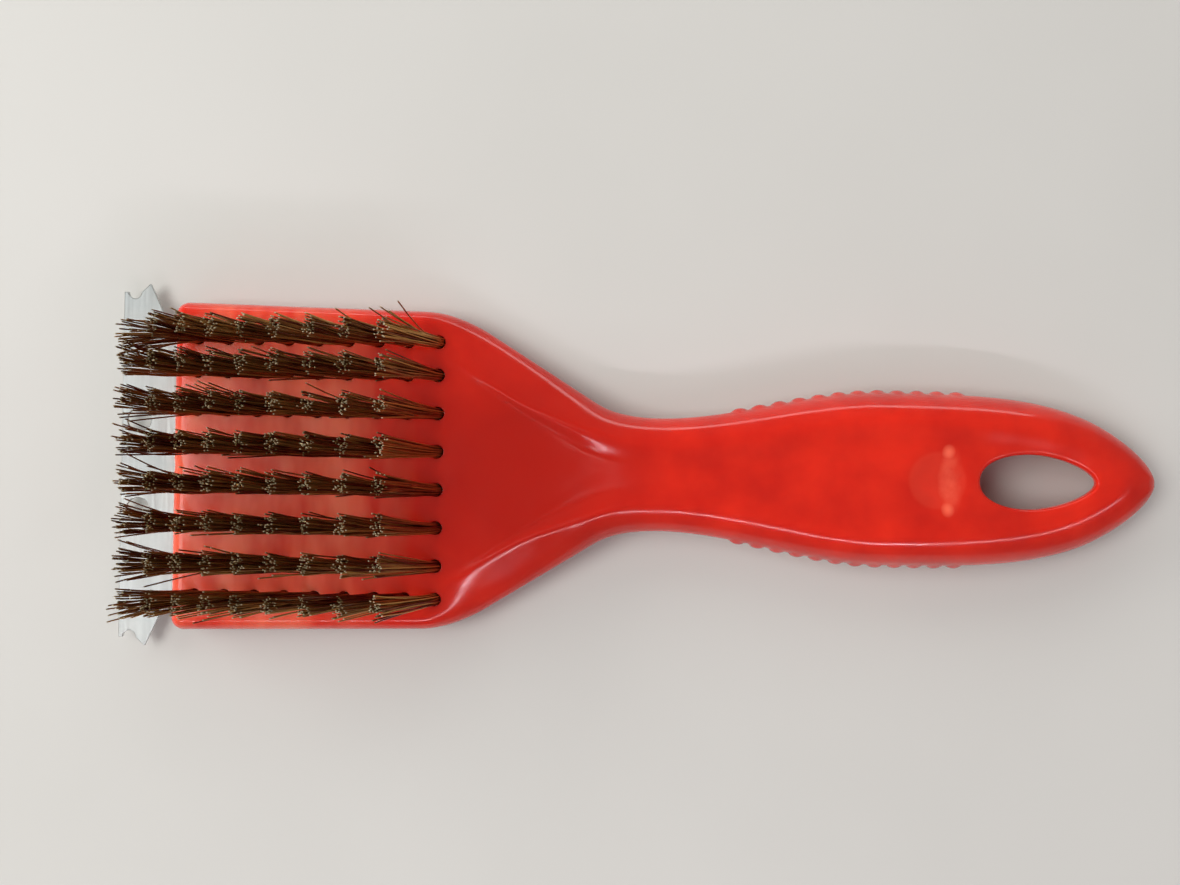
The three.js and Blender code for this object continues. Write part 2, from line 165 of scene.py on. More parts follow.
# Tufts and their holes
ROWS = 8
COLUMNS = 9
GROUPS = ("front", "middle", "rear")
GROUP_SIZE = 3
OUTER_ROW_SPLAY = 0.6
FIRST_TUFT_X = HEAD_FRONT_X + 5.7
TUFT_PITCH = 6.325
TUFT_HOLE_RADIUS = 1.43
TUFT_HOLE_RIM = 0.08
TUFT_HOLE_LOOPS = (0, 0.4, 1, 2)  # loops round a hole, in widths of its rim
TUFT_HOLE_SIDES = 20
INSIDE_SHARE = 0.985  # of a hole's radius that its triangles' middles lie within
TUFT_HOLE_DEPTH = 6
TUFT_HOLE_POINT = 0.4  # what the drill's point adds
LEAN_AT_ENDS = 9.4
LEAN_EXTRA = 2.5
WIRES_PER_TUFT = 19  # each folded over the staple, so it shows two ends
WIRE_RADIUS = 0.15
WIRE_SIDES = 5
ROOT_RADIUS = 1.4
TIP_SPREAD = (0.9, 1.85)  # of the cut ends, against the root, along and across the brush
TIP_JITTER = (0.42, 0.4)  # the same two ways
HEIGHT_JITTER = 0.45
FRONT_TUFT_SPLAY = 1.5  # how much wider than the others the first tuft of a row opens
STRAY_CHANCE = 0.3  # that the next leg is the stray one that its tuft has in STRAYS
LOOSE_CHANCE = 0.02
LOOSE_REACH = (0.8, 2)
BOW_ACROSS = 0.22
BOW_ALONG = 0.15
LEAN_POWERS = (1.1, 1.5)  # along the brush a leg leans sooner than across it
SIDE_LEAN = 1.5  # of the cut ends towards +Y
LAST_ROW_SIDE_LEAN = 0.1
CORNER_TUFT_SIDE_LEAN = -1.2
CUT_START = 0.988  # the share of a wire's length where its bright cut end begins
LEG_SHARES = (0, 0.14, 0.32, 0.52, 0.76, CUT_START, 1)
BEND_Z = 7.7
BEND_RISE = 0.6  # from the bend under the staple to the leg beside it
BEND_PINCH = (0.8, 0.75)  # how far in the legs are there, along and across the brush
BEND_HALF_WIDTH = 0.42
STAPLE_Z = 8.2
STAPLE_HEIGHT = 1.9
STAPLE_HALF_WIDTH = 1.25
STAPLE_LEG = 0.8  # the width of each leg
STAPLE_POINT = (0.35, 0.55)  # how far in from the side each point is, and how tall
STAPLE_THICKNESS = 0.36
STAPLE_BEVEL = 0.06

# Scraper
NOTCH_RADIUS = 1.4
NOTCH_Y = 37.3
NOTCH_INSET = 2.3  # of the notches' middles from the front edge
TOOTH_INSET = 5.6
FLANK_Y = 33.5
FLANK_SLOPE = 2.05
TAB_HALF_WIDTH = 30
TAB_SHOULDER = 1  # how far before the head the plate is down to its tab's width
PLATE_HOLE_INSET = 3.7
PLATE_HOLE_Y = 9.7
PLATE_HOLE_RADIUS = 2.55
PLATE_BEVEL = 0.13
PLATE_CURVE_STEP = 0.5
PLATE_HOLE_SIDES = 48
NOTCH_STEPS = 20
TOOTH_HALF_BLUNTNESS = 0.12
CORNER_CUT = 1  # of the tab and of its slot
SLOT_GAP = 0.3
SLOT_OPENING = 2  # how far the slot's cutter stands out of the head

# Colours
DEEP_RED = (0.53, 0.012, 0.005)
BRIGHT_RED = (0.70, 0.021, 0.007)
# This darker red is painted shade: the web between the flare's arms darkened as if shadowed by the
# tufts.
WEB_SHADE_RED = (0.43, 0.010, 0.004)
# This pale salmon is partly wear on the head's face and partly painted reflection there, and it is
# also the painted highlight in the dimple.
WORN_AND_SHEEN_RED = (0.97, 0.21, 0.115)
DARK_BRASS = (0.165, 0.028, 0.012)
LIGHT_BRASS = (0.50, 0.27, 0.07)
DULL_CUT = (0.26, 0.19, 0.08)
BRIGHT_CUT = (0.95, 0.85, 0.58)
DULL_ZINC = (0.54, 0.58, 0.58)
BRIGHT_ZINC = (0.74, 0.77, 0.75)
DULL_STEEL = (0.42, 0.40, 0.37)
BRIGHT_STEEL = (0.62, 0.60, 0.56)
DARK_TABLE = (0.545, 0.545, 0.515)
LIGHT_TABLE = (0.59, 0.59, 0.56)
WALLS = (0.68, 0.67, 0.65)
CEILING = (0.52, 0.51, 0.50)
WARM_WHITE = (1.0, 0.99, 0.97)
PINK_WHITE = (1.0, 0.88, 0.96)

# Stage, in metres
FLOOR_HALF_WIDTH = 6.0
FLOOR_DROP = 0.0002
CAMERA_PLACE = (-0.0098, 0.0066, 0.3295)
CAMERA_TURN = 1.08  # degrees round the line of sight
CAMERA_LENS = 45.8
ROOM_STRENGTH = 0.34
STRAIGHT_DOWN = 0.01  # a lamp that leans less than this has no level direction of its own
MIDDLE = (0, 0, 0)

# Lamps: name, place, what they aim at, their size level and across it, watts, colour
SHINING_LAMPS = (
    ("ceiling_panel", (-0.925, -0.075, 1.3), (-0.925, -0.075, 0), (0.95, 0.45), 5.3, WARM_WHITE),
    ("low_strip", (-0.1, -0.9, 1.1), MIDDLE, (1.0, 0.03), 3.2, PINK_WHITE),
    ("end_strip", (0.75, -0.75, 1.3), MIDDLE, (1.3, 0.03), 3.4, PINK_WHITE),
    ("far_strip", (0.1, 1.5, 0.25), MIDDLE, (1.8, 0.25), 5.0, WARM_WHITE),
)
SOFT_LAMPS = (
    ("side_window", (-1.05, 0.4, 0.46), MIDDLE, (0.9, 0.5), 7.4, WARM_WHITE),
    ("upper_window", (-0.2, 1.1, 0.8), MIDDLE, (1.2, 0.7), 3.2, WARM_WHITE),
    ("overhead", (-0.62, 0.12, 1.3), (-0.05, 0, 0), (0.8, 0.6), 9.0, WARM_WHITE),
)


# ---- small helpers


def lerp(a, b, share):
    """The value a share of the way from a to b."""
    return a + (b - a) * share


def ease(x, start, end):
    """A share from 0 to 1 that grows smoothly while x goes from start to end."""
    t = np.clip((np.asarray(x, float) - start) / (end - start), 0, 1)
    return t * t * (3 - 2 * t)


def bezier(points, step):
    """Evenly spread points along a line or Bezier curve, without its last point."""
    points = np.asarray(points, float)
    order = len(points) - 1
    t = np.linspace(0, 1, CURVE_SAMPLES)[:, None]
    shares = [math.comb(order, k) * t**k * (1 - t) ** (order - k) for k in range(order + 1)]
    curve = np.sum([share * point for share, point in zip(shares, points)], axis=0)
    travelled = np.concatenate([[0], np.cumsum(np.linalg.norm(np.diff(curve, axis=0), axis=1))])
    count = max(1, round(travelled[-1] / step))
    places = np.linspace(0, travelled[-1], count + 1)[:-1]
    return np.stack([np.interp(places, travelled, curve[:, i]) for i in (0, 1)], axis=1)


def arc(x, y, radius, start, end, steps):
    """Points along an arc round a middle, both ends included."""
    turn = np.linspace(start, end, steps + 1)
    return np.stack([x + radius * np.cos(turn), y + radius * np.sin(turn)], axis=1)


def circle(x, y, radius, steps):
    """Points round a full circle."""
    return arc(x, y, radius, 0, 2 * math.pi, steps)[:-1]


def mirrored(half):
    """A closed loop from its upper half, whose two ends lie on the middle line."""
    return np.concatenate([half, (half * (1, -1))[-2:0:-1]])


def folded(points):
    """The points with those below the middle line turned up over it."""
    return points * (1, 0) + np.abs(points) * (0, 1)


def distance_to(points, path):
    """How far each point lies from an open path."""
    start, step = path[:-1], np.diff(path, axis=0)
    length2 = (step**2).sum(1)
    result = np.empty(len(points))
    for i in range(0, len(points), POINTS_AT_ONCE):
        away = points[i:i + POINTS_AT_ONCE, None, :] - start
        along = np.clip((away * step).sum(2) / length2, 0, 1)
        gap = away - along[..., None] * step
        result[i:i + POINTS_AT_ONCE] = np.sqrt((gap**2).sum(2).min(1))
    return result


def inside(points, loop):
    """Which points lie inside a closed loop."""
    a, b = loop, np.roll(loop, -1, axis=0)
    px, py = points[:, :1], points[:, 1:]
    crosses = (a[:, 1] > py) != (b[:, 1] > py)
    rise = np.where(b[:, 1] == a[:, 1], SMALLEST_RISE, b[:, 1] - a[:, 1])
    left = px < (b[:, 0] - a[:, 0]) * (py - a[:, 1]) / rise + a[:, 0]
    return (crosses & left).sum(1) % 2 == 1


def outward(loop):
    """The outward direction at each point of a closed clockwise loop."""
    along = np.roll(loop, -1, axis=0) - np.roll(loop, 1, axis=0)
    along /= np.linalg.norm(along, axis=1)[:, None]
    return np.stack([-along[:, 1], along[:, 0]], axis=1)


def raw_mesh(name, vertices, faces):
    """A mesh from vertices in millimetres."""
    mesh = bpy.data.meshes.new(name)
    mesh.from_pydata((np.asarray(vertices) * MM).tolist(), [], faces)
    mesh.validate()
    return mesh


def linked(name, data):
    """A new object in the scene."""
    made = bpy.data.objects.new(name, data)
    bpy.context.scene.collection.objects.link(made)
    return made


def piece_of_mesh(name, mesh, materials, smooth_angle=SMOOTH_ANGLE):
    """A named piece from a finished mesh, riding on the one body."""
    mesh.shade_smooth()
    mesh.set_sharp_from_angle(angle=math.radians(smooth_angle))
    for material in materials:
        mesh.materials.append(material)
    piece = linked(name, mesh)
    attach(piece, "root")
    return piece


def sheet_metal(name, loops, thickness, bevel):
    """A flat shape with bevelled edges, from an outer loop and its holes, centred on z 0."""
    curve = bpy.data.curves.new(name, "CURVE")
    curve.dimensions = "2D"
    curve.fill_mode = "BOTH"
    curve.extrude = (thickness / 2 - bevel) * MM
    curve.bevel_depth = bevel * MM
    curve.bevel_resolution = BEVEL_RESOLUTION
    curve.offset = -bevel * MM
    for loop in loops:
        spline = curve.splines.new("POLY")
        spline.points.add(len(loop) - 1)
        for point, (x, y) in zip(spline.points, loop):
            point.co = (x * MM, y * MM, 0, 1)
        spline.use_cyclic_u = True
    holder = linked(name + "_curve", curve)
    graph = bpy.context.evaluated_depsgraph_get()
    mesh = bpy.data.meshes.new_from_object(holder.evaluated_get(graph))
    bpy.data.objects.remove(holder)
    bpy.data.curves.remove(curve)
    return mesh


# ---- body shape


def half_outline():
    """Half of the body's outline, from the middle of the head's front to the handle's end."""
    front, side, corner = HEAD_FRONT_X, HEAD_HALF_WIDTH, HEAD_CORNER_RADIUS
    slope = (FLARE_START[1] - FLARE_END[1]) / (FLARE_END[0] - FLARE_START[0])
    turn_x = FLARE_START[0] - (HEAD_REAR_HALF_WIDTH - FLARE_START[1]) / slope
    head_turn = (turn_x, HEAD_REAR_HALF_WIDTH)
    neck_turn = (FLARE_END[0] + (FLARE_END[1] - NECK[1]) / slope, NECK[1])
    head_rear = (HEAD_REAR_X, HEAD_REAR_HALF_WIDTH)
    pull = (GRIP[0] - NECK[0]) / 3
    after_neck = (NECK[0] + pull, NECK[1])
    before_grip = (GRIP[0] - pull, GRIP[1])
    after_grip = (GRIP[0] + GRIP_PULL, GRIP[1])
    before_taper, after_taper = (
        (END_TAPER[0] + along, END_TAPER[1] + across) for along, across in END_TAPER_PULLS
    )
    tip = (TIP_X, 0)
    parts = [
        bezier([(front, 0), (front, side - corner)], FRONT_STEP),
        arc(front + corner, side - corner, corner, math.pi, math.pi / 2, HEAD_CORNER_STEPS)[:-1],
        bezier([(front + corner, side), head_rear], SIDE_STEP),
        bezier([head_rear, head_turn, FLARE_START], TURN_STEP),
        bezier([FLARE_START, FLARE_END], FLARE_STEP),
        bezier([FLARE_END, neck_turn, NECK], TURN_STEP),
        bezier([NECK, after_neck, before_grip, GRIP], HANDLE_STEP),
        bezier([GRIP, after_grip, before_taper, END_TAPER], GRIP_STEP),
        bezier([END_TAPER, after_taper, (TIP_X, TIP_BLUNTNESS), tip], HANDLE_STEP),
        [tip],
    ]
    return np.concatenate(parts)


HALF = half_outline()
OUTLINE = mirrored(HALF)
NORMALS = outward(OUTLINE)


def edge_distance(points):
    """How far each point lies from the outline, smooth where the two sides meet."""
    near = distance_to(folded(points), HALF)
    far = distance_to(folded(points) * (1, -1), HALF)
    width = np.minimum(WIDEST_BLEND, KEEL_BLEND * np.minimum(near, far)) + SMALLEST_WIDTH
    meeting = np.clip(1 - np.abs(near - far) / width, 0, 1)
    return np.minimum(near, far) - meeting**2 * width / 4


def change_up_to(x, changes):
    """The sum of the changes that lie before x, each growing smoothly over its range."""
    return sum(change * ease(x, start, end) for start, end, change in changes)


def ridge_height(x):
    return HEAD_THICKNESS + change_up_to(x, RIDGE_CHANGES)


def floor_height(x):
    return lerp(HEAD_THICKNESS, ridge_height(x) - DISH_DEPTH, ease(x, *WEB_STRETCH))


def underside_height(x):
    return change_up_to(x, UNDERSIDE_CHANGES)


def parting_height(x):
    return (underside_height(x) + ridge_height(x)) / 2


def shoulder(x):
    """The width of the round shoulder, and the power that makes it round or square."""
    width = HEAD_EDGE_ROUND + change_up_to(x, SHOULDER_CHANGES)
    return width, lerp(HEAD_EDGE_POWER, 2, ease(x, *ROUNDING_STRETCH))


def crest_inset(x):
    return CREST_INSET + change_up_to(x, CREST_CHANGES)


def climb(x, distance):
    """How far up the round edge is from the parting line, as a share."""
    width, power = shoulder(x)
    left = np.clip(1 - distance / width, 0, 1)
    return (1 - left**power) ** (1 / power)


def slope_climb(along):
    """How far up an even slope is, as a share, that ends in a softly rounded crest."""
    soft = CREST_SOFTNESS
    rounded = along - np.clip(along - 1 + soft, 0, None) ** 2 / (4 * soft)
    return np.where(along < 1 + soft, rounded, 1)


def shoulder_share(step):
    """How far up the round edge one of its even steps is, as a share."""
    return math.sin(math.pi / 2 * step / SHOULDER_STEPS)


def inset_of(x, share):
    """How far in from the outline the surface has climbed by a share."""
    width, power = shoulder(x)
    return width * (1 - (1 - share**power) ** (1 / power))


def hole_drop(gap, radius):
    """How far a rounded rim has fallen, by the distance to its hole's wall."""
    left = np.clip(1 - gap / radius, 0, 1)
    return radius * (1 - np.sqrt(1 - left**2))


def hanging_loop(grow=0.0):
    """The hanging hole, round towards the grip and pointed towards the end."""
    wide = HOLE_HALF_WIDTH
    widest = (HOLE_WIDEST_X, wide)
    round_pull = (HOLE_WIDEST_X - HOLE_PULLS[0], wide)
    pointed_pull = (HOLE_WIDEST_X + HOLE_PULLS[1], wide)
    front = [(HOLE_FRONT_X, 0), (HOLE_FRONT_X, HOLE_BLUNTNESS[0] * wide), round_pull, widest]
    rear = [widest, pointed_pull, (HOLE_REAR_X, HOLE_BLUNTNESS[1] * wide), (HOLE_REAR_X, 0)]
    loop = mirrored(np.concatenate([bezier(front, HOLE_STEP), bezier(rear, HOLE_STEP), rear[-1:]]))
    return loop + outward(loop) * grow


HANGING = hanging_loop()
HANGING_PATH = np.concatenate([HANGING, HANGING[:1]])


def rim_drop(points):
    """How far the hanging hole's rim and the tuft holes' rims fall below their face."""
    drop = hole_drop(distance_to(points, HANGING_PATH), HOLE_ROUND)
    for x, y in tuft_roots():
        away = np.hypot(points[:, 0] - x, points[:, 1] - y) - TUFT_HOLE_RADIUS
        drop += np.where(away < TUFT_HOLE_RIM, hole_drop(np.maximum(away, 0), TUFT_HOLE_RIM), 0)
    return drop


def top_height(points, distance):
    """The upper face's height before its rims, by the distance from the outline."""
    x = points[:, 0]
    crest = crest_inset(x)
    share = lerp(climb(x, distance), slope_climb(distance / crest), change_up_to(x, SLOPE_CHANGES))
    level = lerp(ridge_height(x), floor_height(x), ease(distance, crest, CREASE_INSET))
    dimple = np.hypot(x - DIMPLE_X, points[:, 1])
    level = level - DIMPLE_DEPTH * (1 - ease(dimple, *DIMPLE_EDGE))
    return lerp(parting_height(x), level, share)


def bottom_height(points, distance):
    x = points[:, 0]
    return lerp(parting_height(x), underside_height(x), climb(x, distance))


def lower_flare(points):
    """How far the underside rises where the hanging hole widens, softly where it starts."""
    inward = HOLE_WIDENING - distance_to(points, HANGING_PATH)
    soft = HOLE_LOWER_ROUND
    blended = np.where(inward > soft, inward, np.clip(inward + soft, 0, None) ** 2 / (4 * soft))
    slope = (HOLE_WAIST_Z - underside_height(points[:, 0])) / HOLE_WIDENING
    return blended * slope


def row_tip_y(row):
    low, high = box_mm(f"tufts_row_{row}_middle")
    return (low.y + high.y) / 2


ROW_TIP_Y = [row_tip_y(row) for row in range(1, ROWS + 1)]


def row_y(row):
    """Where a row's holes are across the head; the outer rows' ends splay out from them."""
    splay = OUTER_ROW_SPLAY if row in (1, ROWS) else 0
    return ROW_TIP_Y[row - 1] - math.copysign(splay, ROW_TIP_Y[row - 1])


def tuft_x(column):
    return FIRST_TUFT_X + column * TUFT_PITCH


def tip_x(column):
    share = column / (COLUMNS - 1)
    return tuft_x(column) - LEAN_AT_ENDS - LEAN_EXTRA * math.sin(math.pi * share)


def tuft_roots():
    """The middles of all the tufts' holes."""
    return [(tuft_x(column), row_y(row)) for row in range(1, ROWS + 1) for column in range(COLUMNS)]


class Plan:
    """The body seen from above, as points and the edges that its triangles must keep."""

    def __init__(self):
        self.points = []
        self.edges = []

    def add_loop(self, loop):
        """A closed loop whose edges are kept; returns its points' numbers."""
        first = len(self.points)
        count = len(loop)
        self.points.extend(map(tuple, loop))
        self.edges.extend((first + i, first + (i + 1) % count) for i in range(count))
        return list(range(first, first + count))

    def add_ring(self, ring, keep):
        """A ring's kept points, joined where neighbours are kept and not too close."""
        numbers = []
        for point, wanted in zip(ring, keep):
            numbers.append(len(self.points) if wanted else None)
            if wanted:
                self.points.append(tuple(point))
        for a, b in zip(numbers, numbers[1:]):
            if a is not None and b is not None:
                self.edges.append((a, b))


def clear_of_holes(points, margin):
    """Which points lie at least a margin outside every hole's and the dimple's loops."""
    clear = distance_to(points, HANGING_PATH) > HOLE_RINGS[-1] + margin
    clear &= ~inside(points, HANGING)
    tuft_reach = TUFT_HOLE_RADIUS + TUFT_HOLE_LOOPS[-1] * TUFT_HOLE_RIM + margin
    for x, y in tuft_roots():
        clear &= np.hypot(points[:, 0] - x, points[:, 1] - y) > tuft_reach
    around = np.hypot(points[:, 0] - DIMPLE_X, points[:, 1])
    return clear & ((around < DIMPLE_EDGE[0] - margin) | (around > DIMPLE_EDGE[1] + margin))


def thinned(points, gap):
    """Which points keep at least a gap from the points kept before them."""
    cells = {}
    keep = np.zeros(len(points), bool)
    for i, (x, y) in enumerate(points):
        column, row = math.floor(x / gap), math.floor(y / gap)
        around = [(column + a, row + b) for a in (-1, 0, 1) for b in (-1, 0, 1)]
        near = [point for cell in around for point in cells.get(cell, ())]
        if all((x - p[0]) ** 2 + (y - p[1]) ** 2 >= gap * gap for p in near):
            cells.setdefault((column, row), []).append((x, y))
            keep[i] = True
    return keep


def wanted_rings():
    """Each ring's distance in from the outline, and where along the outline it is wanted."""
    x = OUTLINE[:, 0]
    crest = crest_inset(x)
    width, _ = shoulder(x)
    past_head = x > CREASE_FROM_X
    rings = []
    for step in range(STITCHED_STEPS + 1, SHOULDER_STEPS + 1):
        inset = inset_of(x, shoulder_share(step))
        rings.append((inset, ~past_head | (inset < crest - RING_CREST_MARGIN)))
    sloping = past_head & (crest > width + NARROWEST_SLOPE)
    rings.extend((lerp(width, crest, share), sloping) for share in SLOPE_SHARES)
    rings.extend((lerp(crest, CREASE_INSET, share), past_head) for share in CREASE_SHARES)
    return rings


def plan_rings(plan):
    """Adds the rings along the shoulder and down the ridge's inner side; returns their points."""
    gathered, wanted = [], []
    for inset, allowed in wanted_rings():
        ring = OUTLINE - NORMALS * inset[:, None]
        true = distance_to(folded(ring), HALF)
        gathered.append(ring)
        allowed = allowed & (true > inset - RING_TOLERANCE)
        wanted.append(allowed & clear_of_holes(ring, RING_HOLE_MARGIN))
    flat = np.concatenate(gathered)
    keep = np.concatenate(wanted)
    keep[keep] = thinned(flat[keep], RING_POINT_GAP)
    for i, ring in enumerate(gathered):
        plan.add_ring(ring, keep[i * len(OUTLINE):(i + 1) * len(OUTLINE)])
    return flat[keep]


def plan_face(plan, ring_points):
    """Adds loose points over the flat of the head and the handle's dish."""
    xs = np.arange(HEAD_FRONT_X + FACE_FRONT_MARGIN, TIP_X, FACE_SPACING)
    ys = np.arange(-HEAD_HALF_WIDTH, HEAD_HALF_WIDTH, FACE_SPACING)
    stagger = FACE_STAGGER * FACE_SPACING
    grid = np.array([(x + stagger * (j % 2), y) for x in xs for j, y in enumerate(ys)])
    grid = grid[inside(grid, OUTLINE)]
    true = distance_to(folded(grid), HALF)
    width, _ = shoulder(grid[:, 0])
    on_head = grid[:, 0] < CREASE_FROM_X
    deep = np.where(on_head, width + FACE_MARGIN, CREASE_INSET + FACE_CREASE_MARGIN)
    grid = grid[(true > deep) & clear_of_holes(grid, FACE_HOLE_MARGIN)]
    both = np.concatenate([ring_points, grid])
    keep = thinned(both, FACE_POINT_GAP)[len(ring_points):]
    plan.points.extend(map(tuple, grid[keep]))


def plan_holes(plan):
    """Loops round every hole and the dimple; returns the hanging hole's and tuft holes' loops."""
    hanging = plan.add_loop(HANGING)
    for turn in HOLE_RIM_TURNS:
        plan.add_loop(hanging_loop(HOLE_ROUND * (1 - math.cos(math.radians(turn)))))
    for grow in HOLE_RINGS:
        plan.add_loop(hanging_loop(grow))
    tufts = []
    for x, y in tuft_roots():
        radii = [TUFT_HOLE_RADIUS + rims * TUFT_HOLE_RIM for rims in TUFT_HOLE_LOOPS]
        loops = [plan.add_loop(circle(x, y, radius, TUFT_HOLE_SIDES)) for radius in radii]
        tufts.append(loops[0])
    for radius in np.linspace(*DIMPLE_EDGE, DIMPLE_RINGS):
        plan.add_loop(circle(DIMPLE_X, 0, radius, DIMPLE_SIDES))
    return hanging, tufts


def triangulated(plan):
    """The plan's points and triangles, turned one way, and where each planned point went."""
    coords, _, triangles, origins, _, _ = delaunay_2d_cdt(
        [Vector(p) for p in plan.points], plan.edges, [], 1, MERGE_DISTANCE
    )
    flat = np.array([tuple(c) for c in coords])
    where = {old: new for new, olds in enumerate(origins) for old in olds}
    triangles = np.array([t for t in triangles if len(t) == 3])
    first, second, third = (flat[triangles[:, k]] for k in range(3))
    (along_x, along_y), (across_x, across_y) = (second - first).T, (third - first).T
    turned = along_x * across_y - along_y * across_x
    triangles[turned < 0] = triangles[turned < 0][:, ::-1]
    return flat, triangles, where


def over_holes(flat, triangles):
    """Which triangles lie over the hanging hole, and which over a tuft's hole."""
    middles = flat[triangles].mean(axis=1)
    over_tuft = np.zeros(len(middles), bool)
    for x, y in tuft_roots():
        over_tuft |= np.hypot(middles[:, 0] - x, middles[:, 1] - y) < TUFT_HOLE_RADIUS * INSIDE_SHARE
    return inside(middles, HANGING), over_tuft


def bump_push(points, heights, normals):
    """How far out the grip's bumps stand, largest at the parting line."""
    x = points[:, 0]
    number = np.clip(np.round((x - FIRST_BUMP_X) / BUMP_PITCH), 0, BUMPS_PER_SIDE - 1)
    along = x - FIRST_BUMP_X - number * BUMP_PITCH
    above = (heights - parting_height(x)) / BUMP_STRETCH
    ball = np.sqrt(np.clip(BUMP_RADIUS**2 - along**2 - above**2, 0, None))
    stand = np.clip(BUMP_PROUD - BUMP_RADIUS + ball, 0, None)
    return normals * stand[:, None]


def nearest_normals(points):
    """The outline's outward direction nearest to each point."""
    result = np.zeros_like(points)
    for i in range(0, len(points), POINTS_AT_ONCE):
        gap = ((points[i:i + POINTS_AT_ONCE, None, :] - OUTLINE) ** 2).sum(2)
        result[i:i + POINTS_AT_ONCE] = NORMALS[gap.argmin(1)]
    return result


def push_bumps(vertices):
    """Moves the vertices at the grip's sides outwards, where its bumps stand."""
    flat = vertices[:, :2]
    at_side = distance_to(folded(flat), HALF) < BUMP_RADIUS
    push = bump_push(flat, vertices[:, 2], nearest_normals(flat))
    vertices[at_side, :2] += push[at_side]


def appended(vertices, points, heights):
    """Adds points at their heights to the vertices; returns the first one's number."""
    first = len(vertices)
    vertices.extend(np.column_stack([points, heights]).tolist())
    return first


def add_side_rings(vertices, rings):
    """The rings up and down the round edge, as rows of vertex numbers that share the first."""
    upper, lower = [], []
    for ring in rings:
        distance = edge_distance(ring) if upper else np.zeros(len(ring))
        first = appended(vertices, ring, top_height(ring, distance))
        under = appended(vertices, ring, bottom_height(ring, distance)) if upper else first
        upper.append(range(first, first + len(ring)))
        lower.append(range(under, under + len(ring)))
    return upper, lower


def stitch(faces, rows):
    """Four-sided faces between rows of vertex numbers that each go once round."""
    for low, high in zip(rows, rows[1:]):
        for i in range(len(low)):
            j = (i + 1) % len(low)
            faces.append((low[j], low[i], high[i], high[j]))


def body_mesh():
    """The whole body: stitched strips up the sides, a top and an underside, and the holes."""
    insets = [inset_of(OUTLINE[:, 0], shoulder_share(step)) for step in range(STITCHED_STEPS + 1)]
    rings = [OUTLINE - NORMALS * inset[:, None] for inset in insets]
    plan = Plan()
    border = plan.add_loop(rings[-1])
    hanging, tufts = plan_holes(plan)
    ring_points = plan_rings(plan)
    plan_face(plan, np.concatenate([ring_points, rings[-1]]))
    flat, triangles, where = triangulated(plan)
    over_hanging, over_tuft = over_holes(flat, triangles)

    vertices, upper_faces, lower_faces = [], [], []
    upper, lower = add_side_rings(vertices, rings[:-1])
    distance = edge_distance(flat)
    top = appended(vertices, flat, top_height(flat, distance) - rim_drop(flat))
    bottom = appended(vertices, flat, bottom_height(flat, distance) + lower_flare(flat))
    stitch(upper_faces, upper + [[top + where[i] for i in border]])
    stitch(lower_faces, lower + [[bottom + where[i] for i in border]])
    faces = upper_faces + [face[::-1] for face in lower_faces]
    faces.extend((triangles[~over_hanging & ~over_tuft] + top).tolist())
    faces.extend((triangles[~over_hanging][:, ::-1] + bottom).tolist())
    add_hanging_wall(faces, [where[i] for i in hanging], top, bottom)
    for loop in tufts:
        add_tuft_wall(vertices, faces, [top + where[i] for i in loop])
    vertices = np.array(vertices)
    push_bumps(vertices)
    return vertices, faces


def add_hanging_wall(faces, loop, top, bottom):
    """The upright wall between the hanging hole's rim and its waist."""
    for i, here in enumerate(loop):
        after = loop[(i + 1) % len(loop)]
        faces.append((top + here, top + after, bottom + after, bottom + here))


def add_tuft_wall(vertices, faces, loop):
    """A blind hole: its wall and its slightly pointed drilled bottom."""
    bottom_z = HEAD_THICKNESS - TUFT_HOLE_DEPTH
    ring = len(vertices)
    count = len(loop)
    middle = np.mean([vertices[i] for i in loop], axis=0)
    vertices.extend([vertices[i][0], vertices[i][1], bottom_z] for i in loop)
    vertices.append([middle[0], middle[1], bottom_z - TUFT_HOLE_POINT])
    for i in range(count):
        j = (i + 1) % count
        faces.append((loop[j], loop[i], ring + i, ring + j))
        faces.append((ring + j, ring + i, ring + count))


def slot_cutter():
    """The slot that holds the scraper's tab, as a flat block with two corners cut off."""
    half = TAB_HALF_WIDTH + SLOT_GAP
    low_z, high_z = PLATE_LOW.z - SLOT_GAP, PLATE_HIGH.z + SLOT_GAP
    front, rear = HEAD_FRONT_X - SLOT_OPENING, PLATE_HIGH.x + SLOT_GAP
    upper = [(front, half), (rear - CORNER_CUT, half), (rear, half - CORNER_CUT)]
    loop = [(front, -half)] + upper + [(x, -y) for x, y in upper[:0:-1]]
    count = len(loop)
    vertices = [(x, y, z) for z in (low_z, high_z) for x, y in loop]
    faces = [tuple(range(count)), tuple(range(2 * count - 1, count - 1, -1))]
    faces += [(i, i + count, (i + 1) % count + count, (i + 1) % count) for i in range(count)]
    return linked("slot_cutter", raw_mesh("slot_cutter", vertices, faces))


def make_body(material):
    """The moulding, with the scraper's slot cut into it."""
    shell = linked("moulded_body_shell", raw_mesh("moulded_body_shape", *body_mesh()))
    cutter = slot_cutter()
    cut = shell.modifiers.new("slot", "BOOLEAN")
    cut.object = cutter
    cut.operation = "DIFFERENCE"
    cut.solver = "EXACT"
    graph = bpy.context.evaluated_depsgraph_get()
    final = bpy.data.meshes.new_from_object(shell.evaluated_get(graph))
    bpy.data.objects.remove(shell)
    bpy.data.objects.remove(cutter)
    body = piece_of_mesh("moulded_body", final, [material])
    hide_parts("handle_body")


# ---- scraper


